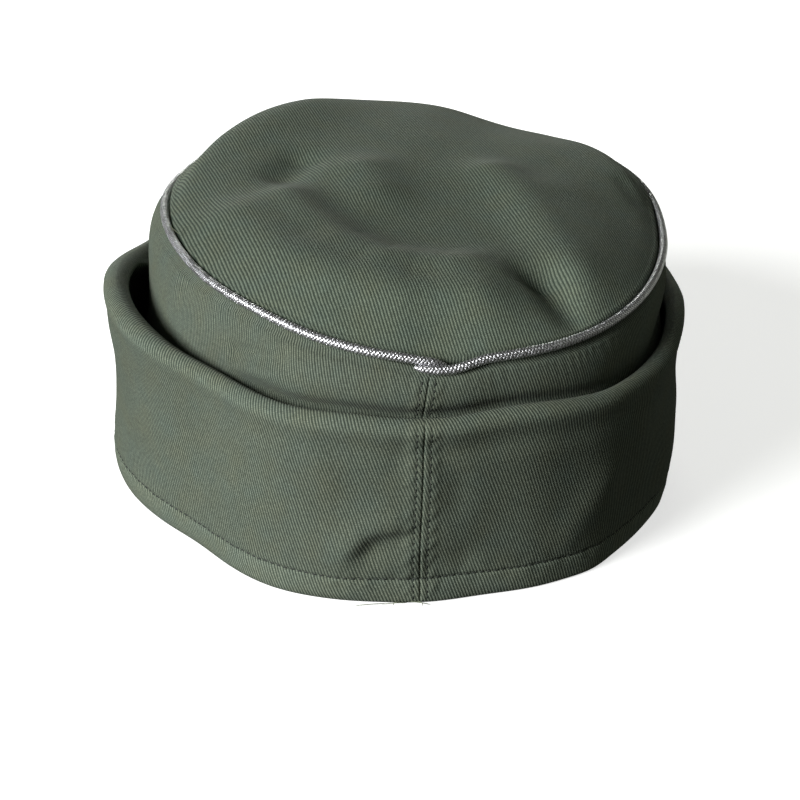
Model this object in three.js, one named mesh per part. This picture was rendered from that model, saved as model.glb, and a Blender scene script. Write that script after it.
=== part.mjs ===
// A cloth field cap with a round crown, metallic piping, a turn-up flap and a peak.
// Units are millimetres and +Z is up. The front (peak) faces -Y and the back seam is at +Y.
// The cap rests by itself: the back of its rim lies flat on z = 0 and the front edge of the peak
// touches z = 0, so the rim rises gently from back to front.
// Angles round the cap are in degrees from the back seam, positive towards +X (the wearer's left).

import * as THREE from 'three';

// Head opening and rest
const RIM_HALF_WIDTH = 90;
const RIM_HALF_LENGTH = 107.4;
const REST_SLOPE = Math.tan(THREE.MathUtils.degToRad(4));
const FLAT_RIM_Y = 50;
const RIM_BEND = 35;

// Crown seam, an oval that is set a little towards the wearer's right
const SEAM_HALF_WIDTH = 80.3;
const SEAM_HALF_LENGTH = 96;
const SEAM_SHIFT_X = -3.5;
const SEAM_HEIGHT = 79.9;
const SEAM_FORWARD_RISE = 4.3;
const SEAM_LEFT_RISE = 0.8;

// Cloth
const WALL_THICK = 1.6;
const WALL_HEM_LIFT = 1.5;
const FLAP_THICK = 2.6;
const FLAP_ROLL_THICK = 3.4;
const PANEL_THICK = 1.5;
const CLOTH_GAP = 0.4;
const SIDE_LEAN = 0.55;
const SEAM_ALLOWANCE = 3.4;
const WALL_TOP_OUT = 0.2;
const WALL_CURVE_POWER = 7;
const SHOULDER_SHARE = 0.6;

// Flap
const FLAP_HEIGHT = 61;
const FLAP_FORWARD_RISE = 1.2;
const FLAP_FRONT_DROP = 6;
const FLAP_OVERLAP_ANGLE = 9;
const FLAP_OVERLAP_RAMP = 24;

// Crown panel
const PANEL_DOME = 4.5;
const PANEL_EDGE_SHARE = 0.962;
const PANEL_INSIDE_SHARE = 0.985;
const PANEL_RING_POWER = 0.8;
const PANEL_ROLL_BACK = 1.6;
const PANEL_ROLL_FRONT = 6.4;
const PANEL_ROLL_WIDTH = 4.5;
const PANEL_FRONT_FROM = 86;
const PANEL_FRONT_TO = 112;
const PANEL_TURN_WIDTH = 25;
const PANEL_SWELL = 3;
const PANEL_SWELL_WIDTH = 14;

// Piping
const PIPING_RADIUS = 1.4;
const PIPING_OUT = 0.4;
const PIPING_TAIL_ANGLE = 4.6;
const PIPING_END_ANGLE = 2.4;
const PIPING_RAMP_ANGLE = 9;
const PIPING_UNDER = { out: 1.7, up: -1.3 };
const PIPING_OVER = { out: 0.3, up: 1.5 };

// Peak
const PEAK_HALF_ANGLE = 58;
const PEAK_THICK = 3;
const PEAK_HALF_WIDTH = 80;
const PEAK_FRONT_Y = 169;
const PEAK_ROUNDNESS = 2.08;
const PEAK_CAMBER = 2;
const PEAK_CORNER_FROM = 0.3;
const PEAK_CORNER_DROP = 0.4;
const PEAK_ROOT_GAP = 0.35;

// Buttons
const BUTTON_RADIUS = 6;
const BUTTON_DEPTH = 3.4;
const BUTTON_DROP = 9;
const BUTTON_SPACING = 17;
const BUTTON_GAP = 0.35;

// Waves of the rim, stand-off of the flap and dips of the edges:
// at = angle, spread = half width in degrees, size = millimetres
const RIM_WAVES = [
  { at: 71, spread: 11, size: 2.0 },
  { at: 47, spread: 9, size: -2.0 },
  { at: 25, spread: 12, size: 3.2 },
  { at: -14, spread: 10, size: -2.2 },
  { at: -38, spread: 6, size: 1.2 },
];
const FLAP_STAND_OFF = [
  { at: 73, spread: 26, size: 12.0 },
  { at: 28, spread: 18, size: 1.6 },
  { at: 0, spread: 20, size: 0.8 },
  { at: -56, spread: 26, size: 3.8 },
  { at: -88, spread: 14, size: 1.0 },
];
const FLAP_TOP_WAVES = [
  { at: 80, spread: 20, size: 5.2 },
  { at: 112, spread: 14, size: -2.5 },
  { at: -75, spread: 20, size: 2.0 },
  { at: -20, spread: 12, size: 1.7 },
  { at: 15, spread: 8, size: 0.7 },
  { at: 180, spread: 26, size: -9.0 },
];
const SEAM_HEIGHT_WAVES = [
  { at: 0, spread: 9, size: -2.2 },
  { at: 42, spread: 18, size: 2.2 },
  { at: -62, spread: 20, size: 1.6 },
  { at: 180, spread: 50, size: -3.4 },
  { at: -150, spread: 16, size: -3.6 },
  { at: 118, spread: 18, size: -3.4 },
];
const SEAM_PLAN_WAVES = [
  { at: 66, spread: 20, size: -2.0 },
  { at: -118, spread: 20, size: 2.4 },
  { at: -72, spread: 16, size: -1.4 },
  { at: -90, spread: 12, size: -0.8 },
];

// Dents and folds of the crown panel, each along a path in plan, with its half width and how far it
// lifts the cloth
const PANEL_FOLDS = [
  { path: [[35, -80], [60, -52]], spread: 20, lift: 5.5 },
  { path: [[-40, -86], [-56, -66]], spread: 14, lift: -2.5 },
  { path: [[33, -22], [38, -12]], spread: 7.5, lift: -3 },
  { path: [[12, -12], [10, 2]], spread: 11.5, lift: 2.7 },
  { path: [[37, 9], [31, 24], [21, 40], [9, 50], [-10, 53], [-22, 51]], spread: 9, lift: 3.4 },
  { path: [[52, 22], [41, 45], [23, 62], [4, 70], [-16, 70]], spread: 14, lift: 4.8 },
  { path: [[-30, -14], [-38, 12], [-43, 34], [-50, 56]], spread: 9.5, lift: 2.8 },
  { path: [[-48, 0], [-58, 48]], spread: 14, lift: 2.2 },
  { path: [[-25, 50], [-37, 55]], spread: 6, lift: -1.6 },
  { path: [[-39, 57], [-50, 84]], spread: 6.5, lift: -4.4 },
  { path: [[-74, -20], [-77, -8]], spread: 4, lift: -1.5 },
];

// Bulges of the crown wall and dents of the flap: angle, share of the height, their half widths and
// how far they stand out
const WALL_FOLDS = [
  { at: 96, share: 0.9, spread: 26, tall: 0.13, size: 2.0 },
  { at: -40, share: 0.88, spread: 14, tall: 0.1, size: 0.6 },
];
const FLAP_FOLDS = [
  { at: -80, share: 0.38, spread: 16, tall: 0.2, size: 1.8 },
  { at: 84, share: 0.74, spread: 18, tall: 0.22, size: 1.6 },
  { at: -66, share: 0.22, spread: 7, tall: 0.25, size: 1.6 },
  { at: 13, share: 0.22, spread: 6, tall: 0.2, size: 1.6 },
  { at: 60, share: 0.12, spread: 30, tall: 0.12, size: 0.8 },
];

// Edge of the crown panel, from the turn at its rim to its raw edge inside: out and up from the seam
const PANEL_HEM = [
  { out: -1.75, up: 0.1 },
  { out: -1.75, up: -1.45 },
  { out: -3.25, up: -1.45 },
  { out: -3.45, up: -0.5 },
];
const PANEL_TURN_BACK = { out: -1.95, up: 1.0 };
const PANEL_TURN_FRONT = { out: -1.1, up: 2.3 };

// Rolled top edge of the flap: share of the height, and depth through the fold from 0, inside, to 1
const FLAP_ROLL_OUTER = [
  { share: 0.985, depth: 0.8 },
  { share: 1, depth: 0.5 },
];
const FLAP_ROLL_INNER = [
  { share: 0.975, depth: 0.1 },
  { share: 0.995, depth: 0.35 },
];
const FLAP_ROLL_FROM = 0.6;
const FLAP_ROLL_TO = 0.95;

// Half section of a button: share of the radius, and share of half the depth, from back to front
const BUTTON_PROFILE = [
  { radius: 0, depth: -1 },
  { radius: 0.86, depth: -1 },
  { radius: 1, depth: -0.45 },
  { radius: 0.97, depth: 0.05 },
  { radius: 0.72, depth: 0.62 },
  { radius: 0.38, depth: 0.92 },
  { radius: 0, depth: 1 },
];

// Heights where the bands have a row of points, as shares of their height
const WALL_SHARES = [0, 0.2, 0.4, 0.58, 0.7, 0.8, 0.88, 0.94];
const FLAP_SHARES = [0, 0.14, 0.3, 0.48, 0.66, 0.82, 0.93];

// Fineness of the solids
const PANEL_SIDES = 56;
const PANEL_RINGS = 11;
const WALL_SIDES = 60;
const FLAP_SECTIONS = 74;
const PIPING_STEPS = 84;
const PIPING_SIDES = 8;
const PEAK_SECTIONS = 26;
const PEAK_STEPS = 7;
const BUTTON_SIDES = 20;

const { degToRad, lerp, clamp, smoothstep } = THREE.MathUtils;
const sine = (angle) => Math.sin(degToRad(angle));
const cosine = (angle) => Math.cos(degToRad(angle));

// Difference of two angles, between -180 and 180
function turn(angle, from) {
  return THREE.MathUtils.euclideanModulo(angle - from + 180, 360) - 180;
}

function waves(angle, rows) {
  let sum = 0;
  for (const row of rows) {
    sum += row.size * Math.exp(-((turn(angle, row.at) / row.spread) ** 2));
  }
  return sum;
}

// Sum of round swellings of a band, at an angle and a share of its height
function folds(angle, share, rows) {
  let sum = 0;
  for (const row of rows) {
    const across = turn(angle, row.at) / row.spread;
    const along = (share - row.share) / row.tall;
    sum += row.size * Math.exp(-across * across - along * along);
  }
  return sum;
}

// Plan point of an oval, moved outwards along the angle
function oval(angle, halfWidth, halfLength, out) {
  const x = sine(angle) * (halfWidth + out);
  const y = cosine(angle) * (halfLength + out);
  return { x, y };
}

// 0 before the bend, a smooth bend, then a straight rise
function ramp(distance, bend) {
  if (distance <= -bend) return 0;
  if (distance >= bend) return distance;
  return (distance + bend) ** 2 / (4 * bend);
}

function rimHeight(y) {
  return REST_SLOPE * ramp(FLAT_RIM_Y - y, RIM_BEND);
}

// Point of the rim's oval, out from the outside of the flap
function rimPoint(angle, out = 0) {
  const flat = oval(angle, RIM_HALF_WIDTH, RIM_HALF_LENGTH, waves(angle, RIM_WAVES));
  const lift = rimHeight(flat.y);
  return new THREE.Vector3(flat.x + sine(angle) * out, flat.y + cosine(angle) * out, lift);
}

// Middle of the crown seam, out and up from it
function seamPoint(angle, out = 0, up = 0) {
  const flat = oval(angle, SEAM_HALF_WIDTH, SEAM_HALF_LENGTH, waves(angle, SEAM_PLAN_WAVES) + out);
  const slope = SEAM_LEFT_RISE * sine(angle) - SEAM_FORWARD_RISE * cosine(angle);
  const height = SEAM_HEIGHT + slope + waves(angle, SEAM_HEIGHT_WAVES);
  return new THREE.Vector3(flat.x + SEAM_SHIFT_X, flat.y, height + up);
}

// Outside of the crown wall. share runs from the hem, 0, to the crown seam, 1.
function wallPoint(angle, share, out = 0) {
  const low = rimPoint(angle, -FLAP_THICK - CLOTH_GAP);
  const high = seamPoint(angle);
  const lean = SIDE_LEAN * sine(angle) ** 2;
  const inset = lean * smoothstep(share, 0, SHOULDER_SHARE) + (1 - lean) * share ** WALL_CURVE_POWER;
  const far = out + folds(angle, share, WALL_FOLDS);
  const x = lerp(low.x, high.x, inset) + sine(angle) * far;
  const y = lerp(low.y, high.y, inset) + cosine(angle) * far;
  return new THREE.Vector3(x, y, lerp(low.z + WALL_HEM_LIFT, high.z, share));
}

// Height of the flap's folded top edge
function flapTop(angle) {
  const front = (1 - cosine(angle)) / 2;
  const rise = -FLAP_FORWARD_RISE * cosine(angle) - FLAP_FRONT_DROP * front ** 2;
  return FLAP_HEIGHT + rise + waves(angle, FLAP_TOP_WAVES);
}

function flapThickness(share) {
  return lerp(FLAP_THICK, FLAP_ROLL_THICK, smoothstep(share, FLAP_ROLL_FROM, FLAP_ROLL_TO));
}

// Point of the flap at a share of its height, out from its inner face
function flapPoint(angle, share, out) {
  const low = rimPoint(angle);
  const height = lerp(low.z, flapTop(angle), share);
  const seam = seamPoint(angle);
  const wallShare = clamp((height - low.z - WALL_HEM_LIFT) / (seam.z - low.z - WALL_HEM_LIFT), 0, 1);
  const wall = wallPoint(angle, wallShare);
  let stand = CLOTH_GAP + waves(angle, FLAP_STAND_OFF) * share + folds(angle, share, FLAP_FOLDS);
  const overlapStart = 180 - FLAP_OVERLAP_ANGLE;
  const overlap = smoothstep(angle, overlapStart - FLAP_OVERLAP_RAMP, overlapStart);
  stand += overlap * (FLAP_ROLL_THICK + CLOTH_GAP);
  const x = wall.x + sine(angle) * (stand + out);
  const y = wall.y + cosine(angle) * (stand + out);
  return new THREE.Vector3(x, y, height);
}

// Least distance in plan from a path of straight runs
function pathDistance(x, y, path) {
  let least = Infinity;
  for (let i = 1; i < path.length; i++) {
    const [startX, startY] = path[i - 1];
    const runX = path[i][0] - startX;
    const runY = path[i][1] - startY;
    const along = clamp(((x - startX) * runX + (y - startY) * runY) / (runX ** 2 + runY ** 2), 0, 1);
    least = Math.min(least, Math.hypot(x - startX - along * runX, y - startY - along * runY));
  }
  return least;
}

// Lift that the folds give the crown panel at a place in plan
function panelRelief(x, y) {
  let sum = 0;
  for (const fold of PANEL_FOLDS) {
    sum += fold.lift * Math.exp(-((pathDistance(x, y, fold.path) / fold.spread) ** 2));
  }
  return sum;
}

// 0 round the back and sides, 1 round the front, where the panel swells over the piping
function frontShare(angle) {
  return smoothstep(Math.abs(turn(angle, 0)), PANEL_FRONT_FROM, PANEL_FRONT_TO);
}

// Top of the crown panel. reach runs from the middle, 0, to the seam, 1.
function panelPoint(angle, reach, down = 0) {
  const edge = seamPoint(angle);
  const x = SEAM_SHIFT_X + (edge.x - SEAM_SHIFT_X) * reach;
  const y = edge.y * reach;
  const tilt = SEAM_LEFT_RISE * sine(angle) - SEAM_FORWARD_RISE * cosine(angle);
  const dips = waves(angle, SEAM_HEIGHT_WAVES) * reach ** 3;
  const relief = panelRelief(x, y) * (1 - reach ** 8);
  const dome = PANEL_DOME * (1 - reach ** 2);
  const inside = (1 - reach) * SEAM_HALF_WIDTH;
  const across = 0.5 - 0.5 * Math.tanh(y / PANEL_TURN_WIDTH);
  const front = lerp(across, frontShare(angle), reach ** 2);
  const full = lerp(PANEL_ROLL_BACK, PANEL_ROLL_FRONT, front);
  const roll = full * (1 - Math.exp(-((inside / PANEL_ROLL_WIDTH) ** 2)));
  const swell = PANEL_SWELL * (1 - front) * (1 - Math.exp(-((inside / PANEL_SWELL_WIDTH) ** 2)));
  const height = SEAM_HEIGHT + tilt * reach + dips + relief + dome + roll + swell;
  return new THREE.Vector3(x, y, height - down);
}

// Collects points and triangles of one closed body
class Skin {
  constructor() {
    this.points = [];
    this.faces = [];
  }

  add(point) {
    this.points.push(point.x, point.y, point.z);
    return this.points.length / 3 - 1;
  }

  triangle(a, b, c) {
    this.faces.push(a, b, c);
  }

  // Joins two rows of the same length; closed joins their ends as well
  strip(one, two, closed) {
    const last = closed ? one.length : one.length - 1;
    for (let i = 0; i < last; i += 1) {
      const j = (i + 1) % one.length;
      this.triangle(one[i], one[j], two[j]);
      this.triangle(one[i], two[j], two[i]);
    }
  }

  geometry() {
    const shape = new THREE.BufferGeometry();
    shape.setAttribute('position', new THREE.Float32BufferAttribute(this.points, 3));
    shape.setIndex(this.faces);
    shape.computeVertexNormals();
    return shape;
  }
}

// A body lofted through sections. Each section is a loop of points: the outer side from one edge
// to the other, then the inner side back. Sections run with the angle.
function loft(sections, closed) {
  const skin = new Skin();
  const loops = sections.map((section) => section.map((point) => skin.add(point)));
  const last = closed ? loops.length : loops.length - 1;
  for (let i = 0; i < last; i += 1) {
    skin.strip(loops[i], loops[(i + 1) % loops.length], true);
  }
  if (!closed) {
    const half = loops[0].length / 2;
    const start = loops[0];
    const end = loops[loops.length - 1];
    const mirror = (i) => 2 * half - 1 - i;
    for (let i = 0; i < half - 1; i += 1) {
      skin.triangle(start[i], start[mirror(i)], start[i + 1]);
      skin.triangle(start[i + 1], start[mirror(i)], start[mirror(i + 1)]);
      skin.triangle(end[i], end[i + 1], end[mirror(i)]);
      skin.triangle(end[i + 1], end[mirror(i + 1)], end[mirror(i)]);
    }
  }
  return skin.geometry();
}

// Crown panel: a domed round sheet whose edge turns down behind the piping
function crownPanel() {
  const skin = new Skin();
  const angles = Array.from({ length: PANEL_SIDES }, (_, i) => (360 * i) / PANEL_SIDES);
  const ring = (place) => angles.map((angle) => skin.add(place(angle)));
  const reaches = Array.from({ length: PANEL_RINGS }, (_, i) => {
    return PANEL_EDGE_SHARE * ((i + 1) / PANEL_RINGS) ** PANEL_RING_POWER;
  });
  const rings = reaches.map((reach) => ring((angle) => panelPoint(angle, reach)));
  rings.push(ring((angle) => {
    const front = frontShare(angle);
    const out = lerp(PANEL_TURN_BACK.out, PANEL_TURN_FRONT.out, front);
    return seamPoint(angle, out, lerp(PANEL_TURN_BACK.up, PANEL_TURN_FRONT.up, front));
  }));
  for (const step of PANEL_HEM) {
    rings.push(ring((angle) => seamPoint(angle, step.out, step.up)));
  }
  for (const reach of reaches.toReversed()) {
    rings.push(ring((angle) => panelPoint(angle, reach * PANEL_INSIDE_SHARE, PANEL_THICK)));
  }
  for (let i = 0; i < rings.length - 1; i += 1) {
    skin.strip(rings[i], rings[i + 1], true);
  }
  const top = skin.add(panelPoint(0, 0));
  const bottom = skin.add(panelPoint(0, 0, PANEL_THICK));
  const first = rings[0];
  const last = rings[rings.length - 1];
  for (let i = 0; i < PANEL_SIDES; i += 1) {
    const j = (i + 1) % PANEL_SIDES;
    skin.triangle(top, first[j], first[i]);
    skin.triangle(bottom, last[i], last[j]);
  }
  return skin.geometry();
}

// Crown wall: a closed band from the hem to just under the piping
function crownWall() {
  const sections = [];
  const ledge = -PIPING_RADIUS - CLOTH_GAP;
  for (let i = 0; i < WALL_SIDES; i += 1) {
    const angle = (360 * i) / WALL_SIDES;
    const outer = WALL_SHARES.map((share) => wallPoint(angle, share));
    outer.push(seamPoint(angle, WALL_TOP_OUT, ledge));
    const inner = WALL_SHARES.map((share) => wallPoint(angle, share, -WALL_THICK));
    inner.push(seamPoint(angle, -SEAM_ALLOWANCE, ledge));
    sections.push([...outer, ...inner.reverse()]);
  }
  return loft(sections, true);
}

// Flap: double cloth with a rolled top edge, whose ends overlap at the front
function turnUpFlap() {
  const sections = [];
  const reach = 180 + FLAP_OVERLAP_ANGLE;
  const roll = (angle, row) => flapPoint(angle, row.share, FLAP_ROLL_THICK * row.depth);
  for (let i = 0; i <= FLAP_SECTIONS; i += 1) {
    const angle = lerp(-reach, reach, i / FLAP_SECTIONS);
    const outer = FLAP_SHARES.map((share) => flapPoint(angle, share, flapThickness(share)));
    outer.push(...FLAP_ROLL_OUTER.map((row) => roll(angle, row)));
    const inner = FLAP_SHARES.map((share) => flapPoint(angle, share, 0));
    inner.push(...FLAP_ROLL_INNER.map((row) => roll(angle, row)));
    sections.push([...outer, ...inner.reverse()]);
  }
  return loft(sections, false);
}

// Piping: starts as a tail under the crossing, goes once round the crown and ends on top of it
class PipingCurve extends THREE.Curve {
  getPoint(share, target = new THREE.Vector3()) {
    const whole = 360 + PIPING_TAIL_ANGLE + PIPING_END_ANGLE;
    const travelled = share * whole;
    const angle = PIPING_TAIL_ANGLE - travelled;
    const overlap = PIPING_TAIL_ANGLE + PIPING_END_ANGLE;
    const under = 1 - smoothstep(travelled, overlap, overlap + PIPING_RAMP_ANGLE);
    const over = smoothstep(travelled, whole - overlap - PIPING_RAMP_ANGLE, whole - overlap);
    const out = PIPING_OUT + PIPING_UNDER.out * under + PIPING_OVER.out * over;
    const up = PIPING_UNDER.up * under + PIPING_OVER.up * over;
    return target.copy(seamPoint(angle, out, up));
  }
}

function crownPiping() {
  const circle = new THREE.Shape().absarc(0, 0, PIPING_RADIUS, 0, 2 * Math.PI);
  return new THREE.ExtrudeGeometry(circle, {
    curveSegments: PIPING_SIDES / 2,
    steps: PIPING_STEPS,
    extrudePath: new PipingCurve(),
  });
}

// Peak: a cambered board that grows out from under the front of the rim
function frontPeak() {
  const sections = [];
  const rootOut = -FLAP_THICK - CLOTH_GAP - WALL_THICK / 2;
  const cornerY = RIM_HALF_LENGTH * cosine(PEAK_HALF_ANGLE);
  const round = (value) => Math.sign(value) * Math.abs(value) ** (2 / PEAK_ROUNDNESS);
  for (let i = 0; i <= PEAK_SECTIONS; i += 1) {
    const across = lerp(-1, 1, i / PEAK_SECTIONS);
    const root = rimPoint(180 + PEAK_HALF_ANGLE * across, rootOut);
    const edgeX = -PEAK_HALF_WIDTH * round(sine(90 * across));
    const edgeY = -cornerY - (PEAK_FRONT_Y - cornerY) * round(cosine(90 * across));
    const rootTop = root.z - PEAK_ROOT_GAP;
    const corner = smoothstep(Math.abs(across), PEAK_CORNER_FROM, 1);
    const edgeTop = lerp(PEAK_THICK, rootTop - PEAK_CORNER_DROP, corner);
    const top = [];
    const bottom = [];
    for (let j = 0; j <= PEAK_STEPS; j += 1) {
      const share = j / PEAK_STEPS;
      const camber = PEAK_CAMBER * Math.sin(Math.PI * share) * (1 - corner);
      const height = lerp(rootTop, edgeTop, share) + camber;
      const x = lerp(root.x, edgeX, share);
      const y = lerp(root.y, edgeY, share);
      top.push(new THREE.Vector3(x, y, height));
      bottom.push(new THREE.Vector3(x, y, height - PEAK_THICK));
    }
    sections.push([...bottom, ...top.reverse()]);
  }
  return loft(sections, false);
}

// A domed button with a flat back; its axis is +Y until it is turned
function buttonShape() {
  const profile = BUTTON_PROFILE.map((row) => {
    return new THREE.Vector2(BUTTON_RADIUS * row.radius, (BUTTON_DEPTH / 2) * row.depth);
  });
  return new THREE.LatheGeometry(profile, BUTTON_SIDES);
}

function cloth(colour) {
  return new THREE.MeshStandardMaterial({ color: colour, roughness: 0.9, metalness: 0 });
}

function metal(colour, roughness, metalness) {
  return new THREE.MeshStandardMaterial({ color: colour, roughness, metalness });
}

const cap = new THREE.Group();

function place(name, geometry, material) {
  const mesh = new THREE.Mesh(geometry, material);
  mesh.name = name;
  cap.add(mesh);
  return mesh;
}

place('crown_top', crownPanel(), cloth('#4b5445'));
place('crown_wall', crownWall(), cloth('#4e5747'));
place('flap', turnUpFlap(), cloth('#515a4b'));
place('piping', crownPiping(), metal('#b9bac2', 0.35, 0.9));
place('peak', frontPeak(), cloth('#4e5747'));

// Outside of the flap at the middle of the front, at a height
function flapFace(height) {
  const foot = rimPoint(180).z;
  const share = (height - foot) / (flapTop(180) - foot);
  return flapPoint(180, share, flapThickness(share));
}

// Two buttons, one above the other, hold the overlapped ends of the flap
const buttonPaint = metal('#5d6358', 0.55, 0.4);
for (const [index, name] of ['button_upper', 'button_lower'].entries()) {
  const height = flapTop(180) - BUTTON_DROP - BUTTON_SPACING * index;
  const low = flapFace(height - BUTTON_RADIUS);
  const high = flapFace(height + BUTTON_RADIUS);
  const lean = Math.atan2(high.y - low.y, high.z - low.z);
  const out = BUTTON_GAP + BUTTON_DEPTH / 2;
  const button = place(name, buttonShape(), buttonPaint);
  button.rotation.x = Math.PI - lean;
  button.position.set(0, (low.y + high.y) / 2 - Math.cos(lean) * out, height + Math.sin(lean) * out);
}

// The origin is the middle of the bounding box on the resting plane
cap.updateMatrixWorld(true);
const bounds = new THREE.Box3().setFromObject(cap);
const middle = bounds.getCenter(new THREE.Vector3());
cap.position.set(-middle.x, -middle.y, -bounds.min.z);

export default cap;
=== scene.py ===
import math
import random

import bpy
import numpy as np
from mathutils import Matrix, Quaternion, Vector


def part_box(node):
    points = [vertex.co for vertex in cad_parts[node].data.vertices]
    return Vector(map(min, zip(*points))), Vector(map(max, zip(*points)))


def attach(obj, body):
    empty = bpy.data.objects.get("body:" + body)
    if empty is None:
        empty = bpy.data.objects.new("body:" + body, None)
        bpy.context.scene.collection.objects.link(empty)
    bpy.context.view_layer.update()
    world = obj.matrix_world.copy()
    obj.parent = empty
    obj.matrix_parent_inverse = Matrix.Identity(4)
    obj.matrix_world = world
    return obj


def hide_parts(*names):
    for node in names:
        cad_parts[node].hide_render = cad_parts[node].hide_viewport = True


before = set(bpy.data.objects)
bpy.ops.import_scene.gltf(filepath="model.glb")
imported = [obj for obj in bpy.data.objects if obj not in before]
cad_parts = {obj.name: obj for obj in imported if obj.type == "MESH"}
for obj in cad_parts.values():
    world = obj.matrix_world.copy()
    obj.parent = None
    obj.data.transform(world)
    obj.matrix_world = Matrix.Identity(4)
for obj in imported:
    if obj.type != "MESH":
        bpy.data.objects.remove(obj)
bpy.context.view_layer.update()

# A cloth field cap, seen from behind. Sizes are in millimetres and meshes in metres.
# Angles round the cap are in degrees from the back seam, positive towards +X, the wearer's left.
MM = 0.001

# Head opening and rest
RIM_HALF_WIDTH = 90.0
RIM_HALF_LENGTH = 107.4
REST_SLOPE = math.tan(math.radians(4.0))
FLAT_RIM_Y = 50.0
RIM_BEND = 35.0

# Crown seam
SEAM_HALF_WIDTH = 80.3
SEAM_HALF_LENGTH = 96.0
SEAM_SHIFT_X = -3.5
SEAM_HEIGHT = 79.9
SEAM_FORWARD_RISE = 4.3
SEAM_LEFT_RISE = 0.8

# Cloth
WALL_THICK = 1.6
WALL_HEM_LIFT = 1.5
WALL_TOP_OUT = 0.2
FLAP_THICK = 2.6
FLAP_ROLL_THICK = 3.4
FLAP_ROLL_FROM = 0.6
FLAP_ROLL_TO = 0.95
PANEL_THICK = 1.5
CLOTH_GAP = 0.4
SIDE_LEAN = 0.55
SEAM_ALLOWANCE = 3.4
WALL_CURVE_POWER = 7
SHOULDER_SHARE = 0.6

# Flap
FLAP_HEIGHT = 61.0
FLAP_FORWARD_RISE = 1.2
FLAP_FRONT_DROP = 6.0
FLAP_OVERLAP_ANGLE = 9.0
FLAP_OVERLAP_RAMP = 24.0

# Crown panel
PANEL_DOME = 4.5
PANEL_EDGE_SHARE = 0.962
PANEL_INSIDE_SHARE = 0.985
PANEL_ROLL_BACK = 1.6
PANEL_ROLL_FRONT = 6.4
PANEL_ROLL_WIDTH = 4.5
PANEL_FRONT_FROM = 86.0
PANEL_FRONT_TO = 112.0
PANEL_TURN_WIDTH = 25.0
PANEL_SWELL = 3.0
PANEL_SWELL_WIDTH = 14.0

# Piping
PIPING_RADIUS = 1.4
PIPING_OUT = 0.4
PIPING_TAIL_ANGLE = 4.6
PIPING_END_ANGLE = 2.4
PIPING_RAMP_ANGLE = 9.0
PIPING_UNDER_OUT = 1.7
PIPING_LAP_UP = 0.85
PIPING_DIVE_ANGLE = 4.0
PIPING_DIVE_OUT = 0.9
PIPING_DIVE_DOWN = 1.3
BRAID_STRANDS = 8
BRAID_PITCH = 4.4
BRAID_DEPTH = 0.5
BRAID_SUNK = 0.375
BRAID_CROSSING = 0.38
BRAID_FLATNESS = 0.7
BRAID_WIRES = 3
PIPING_THIN = 0.12
PIPING_SINK = 0.35
PIPING_TAPER = 6.0

# Peak
PEAK_HALF_ANGLE = 58.0
PEAK_THICK = 3.0
PEAK_HALF_WIDTH = 80.0
PEAK_FRONT_Y = 169.0
PEAK_ROUNDNESS = 2.08
PEAK_CAMBER = 2.0
PEAK_CORNER_FROM = 0.3
PEAK_CORNER_DROP = 0.4
PEAK_ROOT_GAP = 0.35
PEAK_STITCH_INSET = 5.0
PEAK_END = 0.05

# Buttons
BUTTON_RADIUS = 6.0
BUTTON_DEPTH = 3.4
BUTTON_DROP = 9.0
BUTTON_SPACING = 17.0
BUTTON_GAP = 0.35

# Sewing
HEM_STITCH_HEIGHT = 8.5
SEAM_STITCH_AWAY = 2.1
STITCH_PITCH = 2.3
STITCH_LENGTH = 1.75
STITCH_RADIUS = 0.24
BACK_SEAM_U = -0.9
SEAM_SLANT = 0.04
SEAM_SLANT_FROM = 30.0
SEAM_WANDER = 0.25
SEAM_STITCH_PITCH = 2.0
SEAM_STITCH_LENGTH = 1.4
GATHER_PITCH = 3.6
GATHER_LENGTH = 6.0

# Twill: distance between its ridges and their direction, in degrees from the +u or +X axis
TWILL_PITCH = 0.92
TOP_TWILL_PITCH = 0.96
BAND_TWILL_ANGLE = 68.0
TOP_TWILL_ANGLE = 104.0
PEAK_TWILL_ANGLE = 50.0

# Camera, in metres: the photograph's angle to the cap, 27 degrees above the floor
CAMERA_PLACE = (0.0649, 0.8317, 0.4044)
CAMERA_TARGET = (-0.0040, 0.0246, 0.0123)
CAMERA_ROLL = 3.15
CAMERA_LENS = 121.9


def table(names, *rows):
    return [dict(zip(names.split(), row)) for row in rows]


# Waves of the rim, stand-off of the flap and dips of the edges: spread is a half width in degrees
RIM_WAVES = table(
    "at spread size",
    (71, 11, 2.0),
    (47, 9, -2.0),
    (25, 12, 3.2),
    (-14, 10, -2.2),
    (-38, 6, 1.2),
)
FLAP_STAND_OFF = table(
    "at spread size",
    (73, 26, 12.0),
    (28, 18, 1.6),
    (0, 20, 0.8),
    (-56, 26, 3.8),
    (-88, 14, 1.0),
)
FLAP_TOP_WAVES = table(
    "at spread size",
    (80, 20, 5.2),
    (112, 14, -2.5),
    (-75, 20, 2.0),
    (-20, 12, 1.7),
    (15, 8, 0.7),
    (180, 26, -9.0),
)
SEAM_HEIGHT_WAVES = table(
    "at spread size",
    (0, 9, -2.2),
    (42, 18, 2.2),
    (-62, 20, 1.6),
    (180, 50, -3.4),
    (-150, 16, -3.6),
    (118, 18, -3.4),
)
SEAM_PLAN_WAVES = table(
    "at spread size",
    (66, 20, -2.0),
    (-118, 20, 2.4),
    (-72, 16, -1.4),
    (-90, 12, -0.8),
)

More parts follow.
